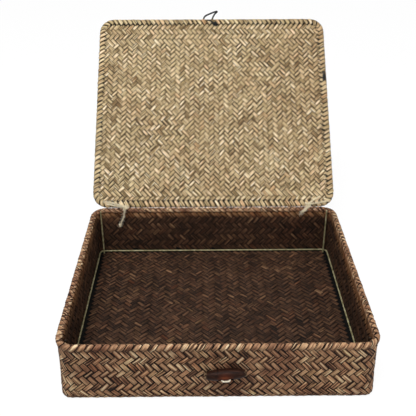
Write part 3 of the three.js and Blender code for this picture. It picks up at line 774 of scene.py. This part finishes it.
lid_floats = panel_floats(LID_COLUMNS, LID_ROWS, lid_pattern)
natural = plait_shader(
    "natural_seagrass",
    UNDYED,
    UNDYED,
    clouds=("cbb19c", 0.2),
    roughness=0.62,
    streaks=3.8,
    crease_shade=[(0.5, "0d0906"), (0.77, "3d2f21"), (0.97, "ffffff")],
)
lid_inner = woven(
    "lid_inner_plait",
    [
        placed_floats(
            WALL_FLOAT, lid_floats, PANEL_CELL, lid_inner_place, draw, width=0.93, lightening=-0.09, variety=0.55
        )
    ],
    "lid_inner_mat",
)
dress(lid_inner, natural)
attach(lid_inner, "lid")
lid_outer = woven(
    "lid_outer_plait",
    [
        placed_floats(PLAIN_FLOAT, lid_floats, PANEL_CELL, lid_outer_place, draw),
        placed_floats(
            FOLD_FLOAT,
            edge_floats,
            ROW_CELL,
            edge_place,
            draw,
            width=0.86,
            dye_and_shade_share=dye_of_edge,
            lightening=-0.11,
            proud=0.6,
        ),
    ],
    "lid_outer_mat",
)
dress(lid_outer, stained)
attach(lid_outer, "lid")


# Hinge ties: two lengths of cream two-ply twine. Each goes over the back rim and through the
# wall, up to two holes in the lid's edge, and is knotted on the rim with its ends left long.
def smooth_route(points, spacing):
    """An evenly spaced route through the points, rounded between them."""
    points = np.asarray(points, float)
    padded = np.concatenate((2 * points[:1] - points[1:2], points, 2 * points[-1:] - points[-2:-1]))
    legs = []
    for a, b, c, d in zip(padded, padded[1:], padded[2:], padded[3:]):
        t = np.linspace(0, 1, 24, endpoint=False)[:, None]
        legs.append(
            0.5 * (2 * b + (c - a) * t + (2 * a - 5 * b + 4 * c - d) * t**2 + (3 * b - a - 3 * c + d) * t**3)
        )
    route = np.concatenate((*legs, points[-1:]))
    run = np.concatenate(([0], np.cumsum(np.linalg.norm(np.diff(route, axis=0), axis=1))))
    even = np.linspace(0, run[-1], max(int(run[-1] / spacing), 2) + 1)
    return np.stack([np.interp(even, run, route[:, axis]) for axis in range(3)], 1), even


def sides_of(route):
    """Two directions across a route at each point, carried along it without twist."""
    ahead = np.gradient(route, axis=0)
    ahead /= np.linalg.norm(ahead, axis=1)[:, None]
    start = np.cross(ahead[0], (0.31, 0.52, 0.79))
    across = [start / np.linalg.norm(start)]
    for step in ahead[1:]:
        carried = across[-1] - step * (across[-1] @ step)
        across.append(carried / np.linalg.norm(carried))
    across = np.array(across)
    return across, np.cross(ahead, across)


def tube_part(route, radius, sides, tone=0.5):
    """A closed tube along a route, its radius one number or one for each point."""
    across, over = sides_of(route)
    count = len(route)
    radius = np.broadcast_to(radius, count)
    turns = np.arange(sides) / sides * 2 * math.pi
    ring = np.cos(turns)[None, :, None] * across[:, None] + np.sin(turns)[None, :, None] * over[:, None]
    points = (route[:, None] + ring * radius[:, None, None]).reshape(-1, 3)
    faces = [
        [at + side, at + (side + 1) % sides, at + sides + (side + 1) % sides, at + sides + side]
        for at in range(0, (count - 1) * sides, sides)
        for side in range(sides)
    ]
    faces.append(list(range(sides))[::-1])
    faces.append([(count - 1) * sides + side for side in range(sides)])
    run = np.concatenate(([0], np.cumsum(np.linalg.norm(np.diff(route, axis=0), axis=1))))
    strip = np.stack((np.repeat(run / MM, sides), np.tile(turns / (2 * math.pi), count)), 1)
    return {
        "points": points,
        "faces": faces,
        "strip": strip,
        "tone": np.full(len(points), tone),
    }


def twisted(points, diameter, plies=2, lay=3.4, fray=0.0):
    """Plies laid up round a route, as closed tubes that thin out over a frayed end."""
    route, run = smooth_route(points, diameter / 4)
    across, over = sides_of(route)
    thin = np.clip((run[-1] - run) / fray, 0.25, 1) if fray else np.ones(len(run))
    parts = []
    for ply in range(plies):
        turn = 2 * math.pi * (run / (lay * diameter) + ply / plies)
        offset = (np.cos(turn)[:, None] * across + np.sin(turn)[:, None] * over) * diameter * 0.24
        spread = 1 + 1.5 * (1 - thin)[:, None]
        parts.append(tube_part(route + offset * spread, diameter * 0.27 * thin, 7, 0.42 + 0.16 * ply))
    return parts


def overhand(centre, size, diameter, turn, lying=None):
    """A knot pulled up tight: a trefoil of twine about a centre, turned at will or lying flat
    across a direction."""
    t = np.linspace(0, 2 * math.pi, 40)
    trefoil = np.stack(
        (np.sin(t) + 2 * np.sin(2 * t), np.cos(t) - 2 * np.cos(2 * t), -1.6 * np.sin(3 * t)), 1
    )
    if lying is None:
        spun = np.array(Matrix.Rotation(turn, 3, Vector((1, 0.6, 0.3)))) @ trefoil.T
    else:
        trefoil[:, 2] *= 0.3
        level = Vector((0, 0, 1)).rotation_difference(Vector(lying)).to_matrix()
        spun = np.array(level @ Matrix.Rotation(turn, 3, "Z")) @ trefoil.T
    return twisted(np.array(centre) + spun.T * size / 6, diameter)


def mm(*point):
    return np.array(point) * MM


def lid_point(x, reach, lift):
    return on_lid(np.array([x]), np.array([reach]), np.array([LID_MIDDLE - LID_HALF - lift]))[0]


def rim_point(x, angle, lift):
    turn, reach = math.radians(angle), FOLD_RADIUS + lift
    return mm(x, BOX_DEPTH / 2 - FOLD_RADIUS + reach * math.cos(turn), FOLD_Z + reach * math.sin(turn))


def lining_point(x, drop):
    z = BOX_HEIGHT - drop
    return mm(x, BOX_DEPTH / 2 - wall_inset(z) - LINING_FACE - 1.7, z)


twine = Shader("cream_twine", roughness=0.95)
twist_map = twine.node("UVMap", uv_map="strip").outputs[0]
hairs = twine.noise(twine.stretched(twist_map, (0.6, 7, 1)), 1.0, detail=4)
twine_tone = twine.math("ADD", twine.attribute("tone"), twine.math("SUBTRACT", hairs, 0.5), clamp=True)
twine.paint(twine.ramp(twine_tone, [(0.1, "a8946c"), (0.45, "e4d6b4"), (0.8, "fdf5e0")]))
twine.bump(hairs, 0.0004)
TWINE = 3.2 * MM
SIDE = BOX_WIDTH / 2
left_knot, right_knot = rim_point(54 - SIDE, 112, 3.8), rim_point(SIDE - 43.5, 75, 5.2)


def rim_turn(x, start):
    return [rim_point(x, angle, 1.5) for angle in np.linspace(start, -35, 6)]


def between_points(start, end, lift):
    return [start, (start + end) / 2 + mm(0, 0, lift), end]


def stray_hairs(route, count, length, seed, facing):
    """Short loose fibres that stand off a strand, on the side away from the mat under it."""
    loose = np.random.default_rng(seed)
    path, _ = smooth_route(route, 1 * MM)
    hairs = []
    for start in path[loose.integers(0, len(path), count)]:
        lean = loose.normal(0, 1, (2, 3))
        lean = lean / np.linalg.norm(lean, axis=1)[:, None] * length / 2
        into = np.minimum(lean @ facing, 0)
        lean = lean - 2 * into[:, None] * facing
        bent = np.array([start, start + lean[0], start + lean[0] + lean[1]])
        hairs.append(tube_part(bent, 0.13 * MM, sides=3, tone=0.7))
    return hairs


LID_FACING = (lid_point(0, 0, 1) - lid_point(0, 0, 0)) / MM
INTO_BOX = np.array((0, -1, 0))
left_tail = [rim_point(52.4 - SIDE, 180, 1.7)]
left_tail += [lining_point(x - SIDE, drop) for x, drop in ((50.5, 13), (47, 22), (43.6, 30.5))]
left_tie = mesh_piece(
    "hinge_tie_left_twine",
    [
        *twisted(between_points(left_knot, lid_point(18.5 - SIDE, 8.4, 0.4), 1.4), TWINE),
        *twisted(between_points(left_knot, lid_point(21.5 - SIDE, 4.2, 1.6), -0.6), TWINE),
        *twisted([left_knot, *rim_turn(54 - SIDE, 100)], TWINE),
        *twisted([left_knot, *left_tail], TWINE * 0.85, fray=5 * MM),
        *overhand(left_knot, 8.6 * MM, TWINE, 0.4),
        *stray_hairs(between_points(left_knot, lid_point(18.5 - SIDE, 8, 0.6), 1), 90, 6 * MM, 1, LID_FACING),
        *stray_hairs([left_knot, *left_tail], 80, 6 * MM, 2, INTO_BOX),
        *overhand(lining_point(43.9 - SIDE, 29), 4.4 * MM, 1.9 * MM, 1.2),
    ],
)
right_tails = [
    [right_knot, *(rim_point(SIDE - at - aside, turn, 1.6) for at, turn in ((47.6, 128), (51.6, 176)))]
    + [lining_point(SIDE - 56.4 - aside, 8.5)]
    for aside in (0, -2.4)
]
right_tie = mesh_piece(
    "hinge_tie_right_twine",
    [
        *twisted(between_points(right_knot, lid_point(SIDE - 22, 15.7, 0.4), 1.2), TWINE),
        *twisted(between_points(right_knot, lid_point(SIDE - 9.5, 7, 1.6), -0.5), TWINE),
        *twisted([right_knot, *rim_turn(SIDE - 43, 65)], TWINE),
        *twisted(right_tails[0], TWINE, fray=4 * MM),
        *twisted(right_tails[1], TWINE, fray=4 * MM),
        *overhand(right_knot + mm(0, 0, -0.8), 9.6 * MM, TWINE, 0.9),
        *stray_hairs(between_points(right_knot, lid_point(SIDE - 9.5, 7, 1.6), 1), 45, 5 * MM, 3, LID_FACING),
        *stray_hairs(right_tails[0], 80, 6 * MM, 4, INTO_BOX),
    ],
)
for tie, start_x, end_x, node_name in (
    (left_tie, 41 - SIDE, 22 - SIDE, "hinge_tie_left"),
    (right_tie, SIDE - 40, SIDE - 24, "hinge_tie_right"),
):
    pick(tie)
    bpy.ops.object.shade_smooth()
    dress(tie, twine)
    start, end = (mm(x, HINGE.y, HINGE.z) for x in (start_x, end_x))
    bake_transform(tie)
    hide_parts(node_name)


# Closing loop: black braided elastic through the lid's front edge, knotted on the inner face.
# The wrap on the lid's right edge is the same elastic, wound over the join of the hoop.
elastic = Shader("black_elastic", roughness=0.7)
braid = elastic.node("UVMap", uv_map="strip").outputs[0]
ribs = elastic.noise(elastic.stretched(braid, (3, 8, 1)), 1.0, detail=2)
elastic.paint(elastic.ramp(ribs, [(0.3, "050607"), (0.55, "0e1012"), (0.75, "202326")]))
elastic.bump(ribs, 0.0002)
ELASTIC = 2.4 * MM
LOOP_LEFT, LOOP_RIGHT, LOOP_TIP, LOOP_REACH = -14.8, 0.7, 9.2, 18.2


def loop_point(x, reach, lift=0.0):
    """A point by its lift from the middle of the lid's thickness."""
    return lid_point(x, reach, lift - LID_HALF)


def loop_leg(foot, shares):
    return [
        loop_point(foot + aside * (LOOP_TIP - foot), BOX_DEPTH + out * LOOP_REACH) for aside, out in shares
    ]


loop_points = [
    loop_point(LOOP_LEFT, BOX_DEPTH - 1.5),
    *loop_leg(LOOP_LEFT, ((0, 0.05), (0.03, 0.25), (0.15, 0.5), (0.38, 0.67), (0.7, 0.87), (0.94, 0.99))),
    *loop_leg(LOOP_RIGHT, ((1.05, 1), (1.04, 0.93), (0.62, 0.73), (0.26, 0.42), (0.08, 0.2), (0, 0.05))),
    loop_point(LOOP_RIGHT, BOX_DEPTH - 1.5),
]
closing_loop = mesh_piece(
    "closing_loop_elastic", [tube_part(smooth_route(loop_points, 0.5 * MM)[0], 0.6 * ELASTIC, 10)]
)
KNOT_REACH, KNOT_X, KNOT_LIFT = BOX_DEPTH - 9.8, 6.2, 4.5
knot_strand = [
    loop_point(-8.9, BOX_DEPTH - 2.2, KNOT_LIFT - 0.5),
    loop_point(-1.5, BOX_DEPTH - 3.8, KNOT_LIFT - 0.4),
    loop_point(KNOT_X - 2, KNOT_REACH + 0.6, KNOT_LIFT - 0.2),
]
knot_end = [
    loop_point(KNOT_X, KNOT_REACH, KNOT_LIFT),
    loop_point(KNOT_X + 3.4, KNOT_REACH - 1.4, KNOT_LIFT - 0.3),
    loop_point(KNOT_X + 5.4, KNOT_REACH - 1.2, KNOT_LIFT - 0.5),
]
loop_knot = mesh_piece(
    "closing_loop_knot_elastic",
    [
        *overhand(loop_point(KNOT_X, KNOT_REACH, KNOT_LIFT), 7.6 * MM, 2.6 * MM, 0.7, LID_FACING),
        tube_part(smooth_route(knot_strand, 0.6 * MM)[0], ELASTIC / 2, 10),
        tube_part(smooth_route(knot_end, 0.6 * MM)[0], ELASTIC / 2, 10),
    ],
)
WRAP_TURNS, WRAP_STEPS, WRAP_REACH, WRAP_LENGTH = 12, 20, 237, 18.6
WRAP_RADIUS, WRAP_STRAND = FOLD_RADIUS + 0.5, 1.7 * MM
turns = np.linspace(0, WRAP_TURNS * 2 * math.pi, WRAP_TURNS * WRAP_STEPS)
wrap_route = on_lid(
    SIDE - FOLD_RADIUS + WRAP_RADIUS * np.cos(turns),
    WRAP_REACH + WRAP_LENGTH * (turns / turns[-1] - 0.5),
    LID_MIDDLE + WRAP_RADIUS * np.sin(turns),
)
wrap = mesh_piece("lid_hoop_wrap_winding", [tube_part(wrap_route, WRAP_STRAND / 2, 8)])
for piece, node_name, slot_name in (
    (closing_loop, "closing_loop", "elastic_cord"),
    (loop_knot, "closing_loop_knot", "elastic_cord"),
    (wrap, "lid_hoop_wrap", "wrap_tape"),
):
    pick(piece)
    bpy.ops.object.shade_smooth()
    dress(piece, elastic)
    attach(piece, "lid")
    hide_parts(node_name)


# Toggle: a turned hardwood barrel, waxed dark red-brown, with two holes drilled across it. It
# hangs on a cotton cord whose ends go through the front wall and are knotted inside.
toggle_low, toggle_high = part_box("toggle_button")
TOGGLE_AT = (toggle_low + toggle_high) / 2 - Vector((0, 0.5 * MM, 0))
TOGGLE_TILT, HOLE_TILT = math.radians(-5), math.radians(30)
TOGGLE_LENGTH, TOGGLE_RADIUS, HOLE_RADIUS, HOLE_SIDE = 52 * MM, 7.5 * MM, 2.5 * MM, 7
WHOLE_LENGTH = TOGGLE_LENGTH * 1.125  # of the spindle form, before its ends are cut off
deselect()
bpy.ops.mesh.primitive_uv_sphere_add(segments=48, ring_count=32, radius=TOGGLE_RADIUS)
toggle = bpy.context.object
toggle.name = "toggle_wood"
bpy.ops.object.mode_set(mode="EDIT")
bpy.ops.mesh.select_all(action="SELECT")
bpy.ops.transform.rotate(value=math.pi / 2, orient_axis="Y", center_override=(0, 0, 0))
bpy.ops.transform.resize(value=(WHOLE_LENGTH / TOGGLE_RADIUS / 2, 1, 1), center_override=(0, 0, 0))
for end in (-1, 1):
    bpy.ops.mesh.select_all(action="SELECT")
    bpy.ops.mesh.bisect(
        plane_co=(end * TOGGLE_LENGTH / 2, 0, 0), plane_no=(end, 0, 0), use_fill=True, clear_outer=True
    )
    bpy.ops.mesh.bevel(offset=0.9 * MM, segments=3, affect="EDGES")
bpy.ops.object.mode_set(mode="OBJECT")
for side in (-1, 1):
    deselect()
    bpy.ops.mesh.primitive_cylinder_add(
        vertices=32,
        radius=HOLE_RADIUS,
        depth=4 * TOGGLE_RADIUS,
        location=(side * HOLE_SIDE * MM, 0, 0),
        rotation=(math.pi / 2 + HOLE_TILT, 0, 0),
    )
    drill = bpy.context.object
    hole = toggle.modifiers.new("hole", "BOOLEAN")
    hole.operation = "DIFFERENCE"
    hole.object = drill
    pick(toggle)
    bpy.ops.object.modifier_apply(modifier="hole")
    bpy.data.objects.remove(drill)
bpy.ops.object.shade_smooth_by_angle(angle=math.radians(40))
toggle.matrix_world = Matrix.Translation(TOGGLE_AT) @ Matrix.Rotation(TOGGLE_TILT, 4, "Y")
bpy.ops.object.transform_apply()
wood = Shader("waxed_wood", roughness=0.6, Specular_IOR_Level=0.12)
centred = wood.node("Mapping")
centred.inputs["Location"].default_value = -TOGGLE_AT
wood.link(wood.place(), centred.inputs["Vector"])
grain = wood.noise(wood.stretched(centred.outputs[0], (60, 900, 900)), 1.0, detail=5)
dark_wood = wood.ramp(grain, [(0.25, "0d0604"), (0.5, "26130b"), (0.72, "402318"), (0.9, "583323")])
highlit_wood = wood.ramp(grain, [(0.25, "220d08"), (0.5, "5a2614"), (0.72, "7c4022"), (0.9, "98562f")])
wood_x, _, wood_z = wood.apart(centred.outputs[0])
reach = wood.math("ABSOLUTE", wood_x)
# painted highlight: the front of the barrel's middle, below its crest, is painted a lighter red-brown
lightening = wood.math("MULTIPLY", wood.span(reach, 0.011, 0.002), wood.span(wood_z, 0.007, -0.001))
wood_base = wood.mix(lightening, dark_wood, highlit_wood)
scars = wood.noise(wood.stretched(centred.outputs[0], (90, 500, 500)), 1.0, detail=3)
bare = wood.math("MULTIPLY", wood.span(reach, 0.0225, 0.0262), wood.span(scars, 0.46, 0.6))
wood_base = wood.mix(bare, wood_base, colour("b79b78"))
# painted shade: the insides of the drilled holes are painted near black
off_axis = wood.node("VectorMath", operation="LENGTH")
wood.link(wood.stretched(centred.outputs[0], (0, 1, 1)), off_axis.inputs[0])
inside = wood.span(off_axis.outputs["Value"], 0.0066, 0.0062)
painted_hole_shade = wood.math("MULTIPLY", inside, wood.span(reach, 0.0106, 0.0102))
wood.paint(wood.mix(painted_hole_shade, wood_base, colour("060302")))
wood.dull(wood.span(grain, 0.3, 0.7, 0.62, 0.46))
wood.bump(grain, 0.00012)
dress(toggle, wood)
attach(toggle, "toggle")
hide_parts("toggle_button")

cotton = Shader("cotton_cord", roughness=0.9)
cotton_map = cotton.node("UVMap", uv_map="strip").outputs[0]
fluff = cotton.noise(cotton.stretched(cotton_map, (0.8, 6, 1)), 1.0, detail=4)
cotton.paint(cotton.ramp(fluff, [(0.25, "b8ab92"), (0.5, "e6dcc6"), (0.75, "f7f1e2")]))
cotton.bump(fluff, 0.0003)


def toggle_point(x, distance, drop=0.0):
    """A point by its distance out along the holes' slope from the toggle's middle."""
    local = Vector((x, -math.cos(HOLE_TILT) * distance, -math.sin(HOLE_TILT) * distance - drop)) * MM
    return np.array(Matrix.Rotation(TOGGLE_TILT, 3, "Y") @ local + TOGGLE_AT)


def wall_point(x, distance, rise):
    """A point by its distance in front of the wall behind the toggle."""
    local = Vector((x, TOGGLE_RADIUS / MM - distance, rise)) * MM
    return np.array(Matrix.Rotation(TOGGLE_TILT, 3, "Y") @ local + TOGGLE_AT)


CORD = 2.3 * MM
STITCH_SIDE, STITCH_DROP = 4.9, 1.0
stitch = [
    *(wall_point(-STITCH_SIDE, off, 1.5) for off in (-1, 1)),
    *(toggle_point(-STITCH_SIDE, out, STITCH_DROP) for out in (-4, 5)),
    toggle_point(-STITCH_SIDE, 6.6, 0.0),
    toggle_point(-STITCH_SIDE + 0.3, 8.1, -0.7),
    toggle_point(-STITCH_SIDE + 1.6, 8.7, 0.1),
    toggle_point(STITCH_SIDE - 1.6, 8.7, 0.1),
    toggle_point(STITCH_SIDE - 0.3, 8.1, -0.7),
    toggle_point(STITCH_SIDE, 6.6, 0.0),
    *(toggle_point(STITCH_SIDE, out, STITCH_DROP) for out in (5, -4)),
    *(wall_point(STITCH_SIDE, off, 1.5) for off in (1, -1)),
]
toggle_cord = mesh_piece("toggle_cord_cotton", twisted(stitch, CORD, plies=3, lay=2.6))
knot_low, knot_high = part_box("toggle_cord_knot")
cord_knot_centre = np.array((knot_low + knot_high) / 2)
cord_knot = mesh_piece(
    "toggle_cord_knot_cotton",
    [
        *overhand(cord_knot_centre, 6.5 * MM, CORD, 0.3),
        *twisted([cord_knot_centre, cord_knot_centre + mm(-5, 0.3, -2.2)], CORD, plies=3, lay=2.6),
        *twisted([cord_knot_centre, cord_knot_centre + mm(5, 0.3, -1.8)], CORD, plies=3, lay=2.6),
    ],
)
for piece, body, node_name in (
    (toggle_cord, "toggle", "toggle_cord"),
    (cord_knot, "basket", "toggle_cord_knot"),
):
    pick(piece)
    bpy.ops.object.shade_smooth()
    dress(piece, cotton)
    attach(piece, body)
    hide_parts(node_name)


# Floor, backdrop and lamps: a studio with a white floor and soft light from above and in front.
bpy.ops.object.select_all(action="DESELECT")
bpy.ops.mesh.primitive_plane_add(size=30, location=(0, 0, -0.0005))
floor = bpy.context.object
floor.name = "studio_floor"
paper = Shader("white_floor", roughness=0.9)
ray = paper.node("LightPath")
mirrored = paper.math("MAXIMUM", ray.outputs["Is Glossy Ray"], ray.outputs["Is Transmission Ray"])
shown = paper.math("MAXIMUM", ray.outputs["Is Camera Ray"], mirrored)
paper.paint(paper.mix(shown, colour("868686"), colour("f2f2f2")))
glow = paper.node("Emission")
glow.inputs["Strength"].default_value = 1.05
blend = paper.node("MixShader")
paper.link(paper.math("MULTIPLY", shown, 0.88), blend.inputs[0])
paper.link(paper.surface.outputs[0], blend.inputs[1])
paper.link(glow.outputs[0], blend.inputs[2])
paper.link(blend.outputs[0], paper.tree.nodes["Material Output"].inputs["Surface"])
dress(floor, paper)

world = bpy.data.worlds.new("studio")
bpy.context.scene.world = world
world.use_nodes = True
sky = world.node_tree
background = sky.nodes["Background"]
background.inputs["Color"].default_value = (1, 1, 1, 1)
background.inputs["Strength"].default_value = 0.44
seen = sky.nodes.new("ShaderNodeBackground")
seen.inputs["Color"].default_value = (1, 1, 1, 1)
sky_ray = sky.nodes.new("ShaderNodeLightPath")
sky_mix = sky.nodes.new("ShaderNodeMixShader")
sky.links.new(sky_ray.outputs["Is Camera Ray"], sky_mix.inputs[0])
sky.links.new(background.outputs[0], sky_mix.inputs[1])
sky.links.new(seen.outputs[0], sky_mix.inputs[2])
sky.links.new(sky_mix.outputs[0], sky.nodes["World Output"].inputs["Surface"])


def softbox(name, place, aim, size, power):
    lamp = bpy.data.lights.new(name, "AREA")
    lamp.energy = power
    lamp.size = size
    holder = bpy.data.objects.new(name, lamp)
    bpy.context.scene.collection.objects.link(holder)
    holder.location = place
    holder.rotation_euler = (Vector(aim) - Vector(place)).to_track_quat("-Z", "Y").to_euler()


softbox("key", (-0.5, -0.9, 2.5), aim=(0, 0.05, 0.1), size=1.1, power=47)
softbox("fill", (1.2, -1.3, 1.3), aim=(0, 0, 0.1), size=1.4, power=8)

bpy.context.scene.view_settings.view_transform = "Standard"
bpy.context.view_layer.update()
